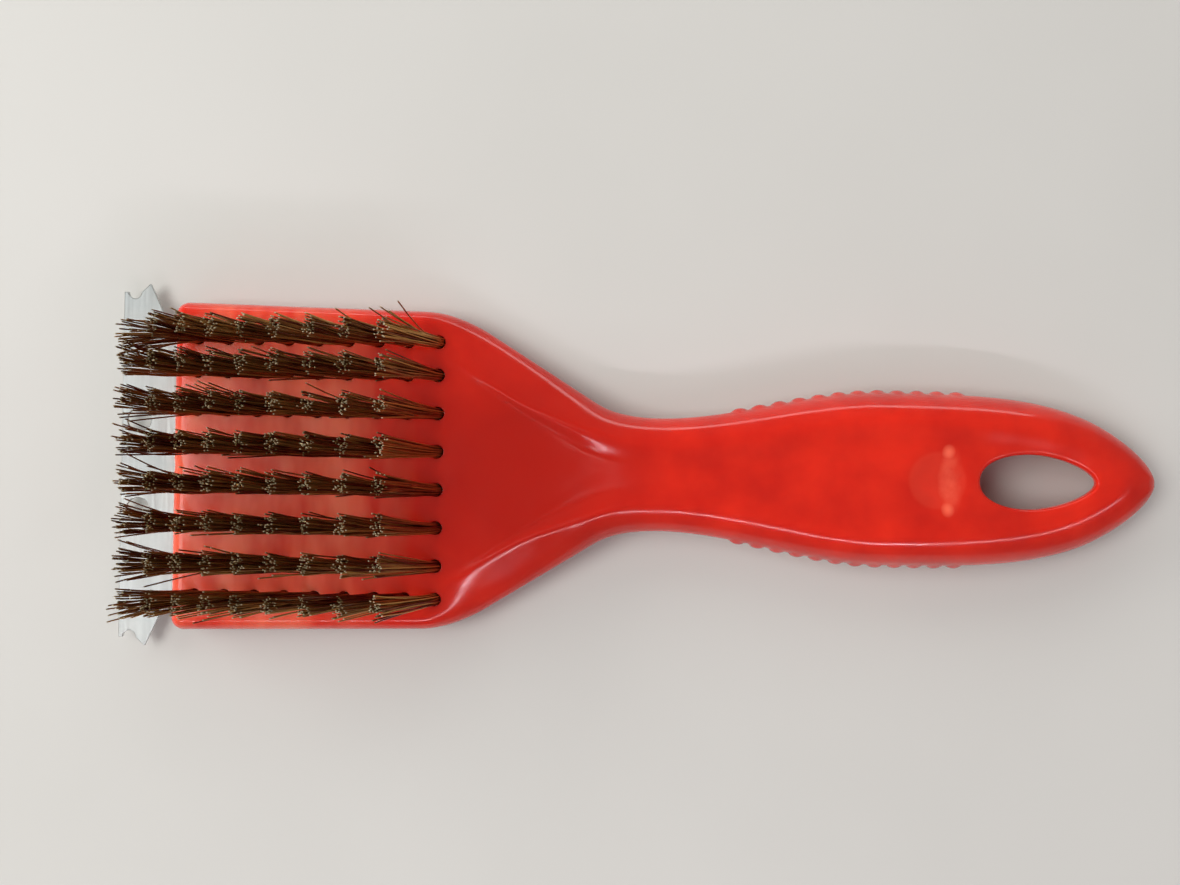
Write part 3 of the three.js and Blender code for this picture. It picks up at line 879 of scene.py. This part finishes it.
def plate_outline():
    """The scraper's outline; each half goes from the front edge round a notch and a tooth."""
    front, rear = PLATE_LOW.x, PLATE_HIGH.x
    tooth_x, tooth_y = front + TOOTH_INSET, PLATE_HIGH.y
    mouth_x = HEAD_FRONT_X - TAB_SHOULDER
    flank_x = tooth_x + (tooth_y - FLANK_Y) / FLANK_SLOPE
    turn_x = flank_x + (FLANK_Y - TAB_HALF_WIDTH) / FLANK_SLOPE
    mouth = (mouth_x, TAB_HALF_WIDTH)
    half = np.concatenate([
        [(front, NOTCH_Y)],
        arc(front + NOTCH_INSET, NOTCH_Y, NOTCH_RADIUS, math.pi, 2 * math.pi, NOTCH_STEPS),
        [(tooth_x - TOOTH_HALF_BLUNTNESS, tooth_y), (tooth_x + TOOTH_HALF_BLUNTNESS, tooth_y)],
        bezier([(flank_x, FLANK_Y), (turn_x, TAB_HALF_WIDTH), mouth], PLATE_CURVE_STEP),
        [mouth, (rear - CORNER_CUT, TAB_HALF_WIDTH), (rear, TAB_HALF_WIDTH - CORNER_CUT)],
    ])
    return np.concatenate([half, (half * (1, -1))[::-1]])


def make_scraper(material):
    """The notched plate with its two holes, in the head's slot."""
    hole_x = PLATE_LOW.x + PLATE_HOLE_INSET
    loops = [plate_outline()]
    for side in (-1, 1):
        loops.append(circle(hole_x, side * PLATE_HOLE_Y, PLATE_HOLE_RADIUS, PLATE_HOLE_SIDES))
    mesh = sheet_metal("scraper", loops, PLATE_HIGH.z - PLATE_LOW.z, PLATE_BEVEL)
    for vertex in mesh.vertices:
        vertex.co.z += (PLATE_LOW.z + PLATE_HIGH.z) / 2 * MM
    plate = piece_of_mesh("notched_scraper", mesh, [material], METAL_SMOOTH_ANGLE)
    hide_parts("scraper_plate")


# ---- tufts and staples


def root_places(rng):
    """Where a tuft's wires stand in its hole, packed evenly, as pairs of legs."""
    golden = math.pi * (3 - math.sqrt(5))
    count = 2 * WIRES_PER_TUFT
    start = rng.uniform(0, 2 * math.pi)
    places = []
    for i in range(count):
        radius = (ROOT_RADIUS - WIRE_RADIUS) * math.sqrt((i + 0.5) / count)
        turn = start + golden * i
        places.append((radius * math.cos(turn), radius * math.sin(turn)))
    places.sort(key=lambda p: p[1])
    return [sorted(places[i:i + 2]) for i in range(0, count, 2)]


# Wires that stand out of their tuft: (row, column) to how far each one's cut end lies from
# the tuft's own, along the brush, across it and up
STRAYS = {
    (1, 8): [(3.2, 5.2, -1.0), (-0.6, 4.2, -3.0), (1.2, 3.4, -2.0), (-2.5, 3.8, -1.0)],
    (1, 2): [(-3.5, 3.5, -6.0)],
    (1, 7): [(-2.0, 3.6, -1.5)],
    (2, 8): [(-1.0, -3.6, -2.0)],
    (2, 5): [(-4.5, 2.8, -2.0)],
    (3, 3): [(-4.5, 3.0, -1.0), (-2.5, 3.8, -2.0), (-5.5, 2.2, -1.0), (-3.5, 3.2, -4.0)],
    (3, 8): [(-1.5, -2.9, -2.0)],
    (3, 7): [(-3.0, -3.0, -3.0)],
    (4, 8): [(-2.0, -3.0, -3.0), (-3.5, -2.6, -5.0)],
    (4, 4): [(-3.0, -3.4, -5.0), (-3.8, -2.8, -3.0)],
    (5, 8): [(-2.0, 3.4, -2.0)],
    (5, 3): [(-3.0, 3.0, -3.0)],
    (6, 8): [(-2.5, -2.6, -3.0)],
    (6, 3): [(-3.5, -2.8, -3.0)],
    (7, 8): [(-3.0, -2.8, -2.0)],
    (7, 5): [(-2.8, -3.2, -4.0)],
    (7, 2): [(-4.5, -2.6, -3.0)],
    (8, 3): [(-3.5, -4.2, -6.0)],
    (8, 0): [(-2.5, -3.6, -1.0)],
    (8, 2): [(-5.0, 2.8, -1.0), (-4.0, 2.4, -3.0)],
}


def leg_path(root, side, tip, rng):
    """One wire leg from beside the staple, up through the hole's mouth, to its cut end."""
    beside_x = side * BEND_PINCH[0] * max(abs(root[0]), BEND_HALF_WIDTH)
    points = [(beside_x, root[1] * BEND_PINCH[1], BEND_Z + BEND_RISE)]
    bow_y = rng.gauss(0, BOW_ACROSS)
    bow_x = rng.gauss(0, BOW_ALONG)
    length = tip[2] - HEAD_THICKNESS
    for share in LEG_SHARES:
        swell = math.sin(math.pi * share)
        x = lerp(root[0], tip[0], share ** LEAN_POWERS[0]) + bow_x * swell
        y = lerp(root[1], tip[1], share ** LEAN_POWERS[1]) + bow_y * swell
        points.append((x, y, HEAD_THICKNESS + length * share))
    return points


def side_lean(row, column):
    """How far a tuft's cut ends lie towards +Y from its hole."""
    if row == ROWS:
        return LAST_ROW_SIDE_LEAN
    return CORNER_TUFT_SIDE_LEAN if (row, column) == (1, 0) else SIDE_LEAN


def cut_end(centre, root, splay, strays, rng):
    """Where a leg's cut end lies from its tuft's hole; a few stand out of the tuft."""
    end = [
        centre[i] + splay * (root[i] * TIP_SPREAD[i] + rng.gauss(0, TIP_JITTER[i])) for i in (0, 1)
    ]
    end.append(TUFT_TOP_Z - abs(rng.gauss(0, HEIGHT_JITTER * splay)))
    if strays and rng.random() < STRAY_CHANCE:
        along, across, up = strays.pop()
        return [centre[0] + along, centre[1] + across, TUFT_TOP_Z + up]
    if rng.random() < LOOSE_CHANCE * splay:
        end[1] += rng.choice((-1, 1)) * rng.uniform(*LOOSE_REACH)
    return end


def wire_paths(row, column, rng):
    """The folded wires of one tuft, each as a path from one cut end to the other."""
    x, y = tuft_x(column), row_y(row)
    centre = (tip_x(column) - x, side_lean(row, column))
    splay = FRONT_TUFT_SPLAY if column == 0 else 1
    strays = list(STRAYS.get((row, column), ()))
    paths = []
    for pair in root_places(rng):
        legs = []
        for side, root in zip((-1, 1), pair):
            end = cut_end(centre, root, splay, strays, rng)
            legs.append(leg_path(root, side, end, rng))
        left, right = legs
        bend = [(0, (left[0][1] + right[0][1]) / 2, BEND_Z)]
        paths.append(np.array(left[::-1] + bend + right) + (x, y, 0))
    return paths


def tube(path, radius, sides):
    """A wire round a path that keeps clear of the Y direction, with flat cut ends."""
    along = np.gradient(path, axis=0)
    along /= np.linalg.norm(along, axis=1)[:, None]
    side = np.cross(along, (0, 1, 0))
    side /= np.linalg.norm(side, axis=1)[:, None]
    up = np.cross(side, along)
    turn = 2 * math.pi * np.arange(sides) / sides
    cosines, sines = np.cos(turn)[None, :, None], np.sin(turn)[None, :, None]
    ring = cosines * side[:, None, :] + sines * up[:, None, :]
    vertices = (path[:, None, :] + radius * ring).reshape(-1, 3)
    faces = []
    for i in range(len(path) - 1):
        for j in range(sides):
            k = (j + 1) % sides
            faces.append((i * sides + j, i * sides + k, (i + 1) * sides + k, (i + 1) * sides + j))
    last = (len(path) - 1) * sides
    faces.append(tuple(range(sides - 1, -1, -1)))
    faces.append(tuple(last + j for j in range(sides)))
    return vertices, faces


def make_tuft(row, column, materials, rng):
    """One tuft of folded wires; each wire has a tone, and its cut ends the second material."""
    vertices, faces, tones, bright = [], [], [], []
    first = 0
    for path in wire_paths(row, column, rng):
        points, sides = tube(path, WIRE_RADIUS, WIRE_SIDES)
        vertices.append(points)
        cut = len(path) - 2
        for number, face in enumerate(sides):
            segment = number // WIRE_SIDES
            is_end = segment in (0, cut) or number >= len(sides) - 2
            faces.append(tuple(first + i for i in face))
            bright.append(1 if is_end else 0)
        tones += [rng.random()] * len(points)
        first += len(points)
    name = f"tuft_{row}_{column + 1}"
    mesh = raw_mesh(name, np.concatenate(vertices), faces)
    tuft = piece_of_mesh(name, mesh, materials, WIRE_SMOOTH_ANGLE)
    tuft.data.polygons.foreach_set("material_index", bright)
    tone = tuft.data.attributes.new("tone", "FLOAT", "POINT")
    tone.data.foreach_set("value", tones)
    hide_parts(f"tufts_row_{row}_{GROUPS[column // GROUP_SIZE]}")


def make_staple(row, column, material):
    """A flat metal anchor that stands across the hole and holds the folded wires down."""
    half, height = STAPLE_HALF_WIDTH, STAPLE_HEIGHT
    point_inset, point_height = STAPLE_POINT
    loop = [(-half, height), (half, height), (half, point_height)]
    loop += [(half - point_inset, 0), (half - STAPLE_LEG, point_height)]
    loop += [(-x, y) for x, y in loop[:1:-1]]
    name = f"staple_{row}_{column + 1}"
    mesh = sheet_metal(name, [loop], STAPLE_THICKNESS, STAPLE_BEVEL)
    for vertex in mesh.vertices:
        across, up, through = vertex.co
        vertex.co = (tuft_x(column) * MM + through, row_y(row) * MM + across, STAPLE_Z * MM + up)
    piece_of_mesh(name, mesh, [material], METAL_SMOOTH_ANGLE)


# ---- materials


def new_material(name):
    """A new material, its node tree and its shader."""
    material = bpy.data.materials.new(name)
    material.use_nodes = True
    return material, material.node_tree, material.node_tree.nodes["Principled BSDF"]


def set_inputs(node, **values):
    """Sets a node's sockets, named with underscores for their spaces."""
    for key, value in values.items():
        node.inputs[key.replace("_", " ")].default_value = value


def link(source, node, socket):
    """Feeds an output into a node's socket."""
    node.id_data.links.new(source, node.inputs[socket])


def noise(tree, scale, detail=3.0, stretch=(1, 1, 1)):
    """Noise over the object's own coordinates, in features per metre, stretched if asked."""
    place = tree.nodes.new("ShaderNodeTexCoord")
    mapping = tree.nodes.new("ShaderNodeMapping")
    texture = tree.nodes.new("ShaderNodeTexNoise")
    set_inputs(mapping, Scale=stretch)
    set_inputs(texture, Scale=scale, Detail=detail)
    link(place.outputs["Object"], mapping, "Vector")
    link(mapping.outputs["Vector"], texture, "Vector")
    return texture.outputs["Fac"]


def spread(tree, source, low, high, start=0.3, end=0.7):
    """A number that goes from low to high while the source goes from start to end."""
    mapped = tree.nodes.new("ShaderNodeMapRange")
    set_inputs(mapped, From_Min=start, From_Max=end, To_Min=low, To_Max=high)
    link(source, mapped, "Value")
    return mapped.outputs["Result"]


def blend(tree, source, low, high):
    """A colour between two others; each is three numbers or the output of a node."""
    mix = tree.nodes.new("ShaderNodeMix")
    mix.data_type = "RGBA"
    sockets = [socket for socket in mix.inputs if socket.type == "RGBA"]
    for socket, colour in zip(sockets, (low, high)):
        if isinstance(colour, tuple):
            socket.default_value = (*colour, 1)
        else:
            tree.links.new(colour, socket)
    link(source, mix, "Factor")
    return next(socket for socket in mix.outputs if socket.type == "RGBA")


def bump(tree, source, distance, strength, normal=None):
    """A surface normal roughened by a source, over another normal if one is given."""
    made = tree.nodes.new("ShaderNodeBump")
    set_inputs(made, Strength=strength, Distance=distance)
    link(source, made, "Height")
    if normal is not None:
        link(normal, made, "Normal")
    return made.outputs["Normal"]


def added(tree, first, second, operation="ADD"):
    """The sum of two numbers, or what another operation makes of them."""
    math_node = tree.nodes.new("ShaderNodeMath")
    math_node.operation = operation
    link(first, math_node, 0)
    link(second, math_node, 1)
    return math_node.outputs["Value"]


def near_spot(tree, middle, reach):
    """1 at a spot on the object, falling to 0 at an oval's edge; sizes in millimetres."""
    place = tree.nodes.new("ShaderNodeTexCoord")
    mapping = tree.nodes.new("ShaderNodeMapping")
    mapping.vector_type = "TEXTURE"
    location, scale = ([value * MM for value in values] for values in (middle, reach))
    set_inputs(mapping, Location=location, Scale=scale)
    length = tree.nodes.new("ShaderNodeVectorMath")
    length.operation = "LENGTH"
    link(place.outputs["Object"], mapping, "Vector")
    link(mapping.outputs["Vector"], length, 0)
    return spread(tree, length.outputs["Value"], low=1, high=0, start=0, end=1)


def dimple_highlight(tree):
    """A painted highlight in the dimple: a faint band, stronger at its two ends, over a faint
    lighter disc.
    """
    face = HEAD_THICKNESS
    highlight_band = near_spot(tree, middle=(DIMPLE_X + 2.6, 0, face), reach=(3.4, 9, 9))
    ends = [
        near_spot(tree, middle=(DIMPLE_X + 2.3, side * 6, face + 2), reach=(1.7, 1.9, 5))
        for side in (-1, 1)
    ]
    blotches = spread(tree, noise(tree, scale=350, detail=3), low=0.25, high=0.75)
    blotched = added(tree, highlight_band, blotches, "MULTIPLY")
    dimple = near_spot(tree, middle=(DIMPLE_X, 0, face), reach=(7, 7, 9))
    disc = spread(tree, dimple, low=0, high=0.07, start=0, end=0.1)
    strong = added(tree, added(tree, ends[0], ends[1]), disc)
    return added(tree, blotched, strong, "MAXIMUM")


def head_wear_and_sheen(tree):
    """Pale patches over the head's face between the rows: partly wear from brushing, partly a
    painted reflection of the lamps overhead.
    """
    middle = ((HEAD_FRONT_X + HEAD_REAR_X) / 2 - 6, 0, HEAD_THICKNESS)
    face = near_spot(tree, middle, reach=(32, 60, 8))
    worn_and_lit = spread(tree, face, low=0, high=0.8, start=0, end=0.5)
    clouds = noise(tree, scale=75, detail=3, stretch=(1.6, 0.5, 1))
    patches = spread(tree, clouds, low=0.15, high=1, start=0.35, end=0.65)
    return added(tree, worn_and_lit, patches, "MULTIPLY")


def red_colour(tree):
    """Cloudy red, with painted shade darkening the web between the flare's arms, pale patches of
    wear and painted reflection on the head, and a painted highlight in the dimple.
    """
    cloud = spread(tree, noise(tree, scale=90, detail=4), low=0, high=1)
    colour = blend(tree, cloud, DEEP_RED, BRIGHT_RED)
    # Painted highlight in the dimple, with pale patches on the head that are partly wear and partly
    # painted reflection.
    sheen_and_wear = added(tree, dimple_highlight(tree), head_wear_and_sheen(tree), "MAXIMUM")
    # Painted shade over the web between the flare's arms, as if from the tufts' shadow.
    web_shade_spot = near_spot(tree, middle=(-24, 0, HEAD_THICKNESS), reach=(32, 30, 12))
    web = spread(tree, web_shade_spot, low=0, high=1, start=0, end=0.6)
    return blend(tree, sheen_and_wear, blend(tree, web, colour, WEB_SHADE_RED), WORN_AND_SHEEN_RED)


def red_plastic():
    """Glossy, slightly cloudy polypropylene, with flow waves, smudges and fine scuffs."""
    material, tree, shader = new_material("red_plastic")
    link(red_colour(tree), shader, "Base Color")
    smudges = spread(tree, noise(tree, scale=140, detail=5), low=0.09, high=0.2)
    scratches = noise(tree, scale=1400, detail=2, stretch=(0.3, 1, 1))
    scuffs = spread(tree, scratches, low=0, high=0.06, start=0.6, end=0.8)
    link(added(tree, smudges, scuffs), shader, "Roughness")
    set_inputs(shader, Subsurface_Weight=0.45, Subsurface_Scale=0.005, IOR=1.49)
    set_inputs(shader, Subsurface_Radius=(1.0, 0.12, 0.05))
    flow = noise(tree, scale=55, detail=1.5, stretch=(1, 0.6, 1))
    waves = bump(tree, flow, distance=0.0006, strength=0.2)
    grain = noise(tree, scale=2600, detail=3)
    normal = bump(tree, grain, distance=0.00003, strength=0.25, normal=waves)
    link(normal, shader, "Normal")
    return material


def zinc_steel():
    """Bright zinc-plated sheet with the fine lines of rolling along its length."""
    material, tree, shader = new_material("zinc_steel")
    lines = noise(tree, scale=2200, detail=3, stretch=(1, 0.03, 1))
    cloud = noise(tree, scale=120, detail=4)
    colour = blend(tree, spread(tree, cloud, low=0, high=1), DULL_ZINC, BRIGHT_ZINC)
    link(colour, shader, "Base Color")
    rolled = spread(tree, lines, low=0.34, high=0.46)
    worn = added(tree, rolled, spread(tree, cloud, low=0, high=0.1))
    link(worn, shader, "Roughness")
    set_inputs(shader, Metallic=1, Anisotropic=0.4)
    normal = bump(tree, lines, distance=0.00002, strength=0.3)
    link(normal, shader, "Normal")
    return material


def brass_wire(name, dark, light, roughness, start):
    """Plated wire, duller on some wires than on others, with drawing marks and tarnish."""
    material, tree, shader = new_material(name)
    tone = tree.nodes.new("ShaderNodeAttribute")
    tone.attribute_name = "tone"
    tarnish = added(tree, tone.outputs["Fac"], noise(tree, scale=260, detail=4))
    shine = spread(tree, tarnish, low=0, high=1, start=start, end=1.45)
    link(blend(tree, shine, dark, light), shader, "Base Color")
    set_inputs(shader, Metallic=0.9)
    drawn = noise(tree, scale=5200, detail=2)
    rough = spread(tree, drawn, low=roughness - 0.08, high=roughness + 0.12)
    link(rough, shader, "Roughness")
    normal = bump(tree, drawn, distance=0.00002, strength=0.4)
    link(normal, shader, "Normal")
    return material


def staple_steel():
    """Plain grey steel, a little cloudy."""
    material, tree, shader = new_material("staple_steel")
    cloud = spread(tree, noise(tree, scale=900, detail=4), low=0, high=1)
    colour = blend(tree, cloud, DULL_STEEL, BRIGHT_STEEL)
    link(colour, shader, "Base Color")
    rough = spread(tree, noise(tree, scale=2500, detail=3), low=0.3, high=0.5)
    link(rough, shader, "Roughness")
    set_inputs(shader, Metallic=1)
    return material


def table_top():
    """A pale matt table, very slightly cloudy."""
    material, tree, shader = new_material("table_top")
    cloud = spread(tree, noise(tree, scale=6, detail=4), low=0, high=1)
    colour = blend(tree, cloud, DARK_TABLE, LIGHT_TABLE)
    link(colour, shader, "Base Color")
    set_inputs(shader, Roughness=0.55)
    return material


# ---- stage


def make_floor():
    """The table that the brush lies on."""
    half = FLOOR_HALF_WIDTH
    corners = [(-half, -half, 0), (half, -half, 0), (half, half, 0), (-half, half, 0)]
    mesh = bpy.data.meshes.new("table")
    mesh.from_pydata(corners, [], [range(len(corners))])
    mesh.materials.append(table_top())
    floor = linked("table", mesh)
    floor.location.z = -FLOOR_DROP


def make_camera():
    """The camera, straight above the brush."""
    camera = linked("camera", bpy.data.cameras.new("camera"))
    camera.data.lens = CAMERA_LENS
    camera.location = CAMERA_PLACE
    camera.rotation_euler = (0, 0, math.radians(CAMERA_TURN))
    bpy.context.scene.camera = camera


def area_light(name, place, aim, size, watts, colour):
    """A flat lamp whose first size lies level, and whose second lies across that."""
    data = bpy.data.lights.new(name, "AREA")
    data.shape = "RECTANGLE"
    data.size, data.size_y = size
    data.energy = watts
    data.color = colour
    lamp = linked(name, data)
    lamp.location = place
    back = (Vector(place) - Vector(aim)).normalized()
    level = Vector((0, 0, 1)).cross(back)
    level = level.normalized() if level.length > STRAIGHT_DOWN else Vector((1, 0, 0))
    lamp.rotation_euler = Matrix((level, back.cross(level), back)).transposed().to_euler()
    return lamp


def make_lights():
    """Strips and a panel that show in the gloss, and wide soft lamps that only light things."""
    for settings in SHINING_LAMPS:
        area_light(*settings)
    for settings in SOFT_LAMPS:
        area_light(*settings).visible_glossy = False


def make_room():
    """Pale walls and a slightly darker ceiling."""
    world = bpy.data.worlds.new("room")
    world.use_nodes = True
    bpy.context.scene.world = world
    tree = world.node_tree
    background = tree.nodes["Background"]
    place = tree.nodes.new("ShaderNodeTexCoord")
    split = tree.nodes.new("ShaderNodeSeparateXYZ")
    link(place.outputs["Generated"], split, "Vector")
    height = spread(tree, split.outputs["Z"], low=0, high=1, start=0.15, end=0.95)
    link(blend(tree, height, WALLS, CEILING), background, "Color")
    set_inputs(background, Strength=ROOM_STRENGTH)


# ---- the brush


def main():
    """The stage first, then the brush piece by piece."""
    make_camera()
    make_room()
    make_lights()
    make_floor()
    make_body(red_plastic())
    make_scraper(zinc_steel())
    wires = [
        brass_wire("brass_wire", DARK_BRASS, LIGHT_BRASS, roughness=0.36, start=0.5),
        brass_wire("cut_wire", DULL_CUT, BRIGHT_CUT, roughness=0.34, start=0.6),
    ]
    steel = staple_steel()
    rng = random.Random(SEED)
    for row in range(1, ROWS + 1):
        for column in range(COLUMNS):
            make_tuft(row, column, wires, rng)
            make_staple(row, column, steel)
    bpy.context.scene.view_settings.view_transform = "Standard"


main()
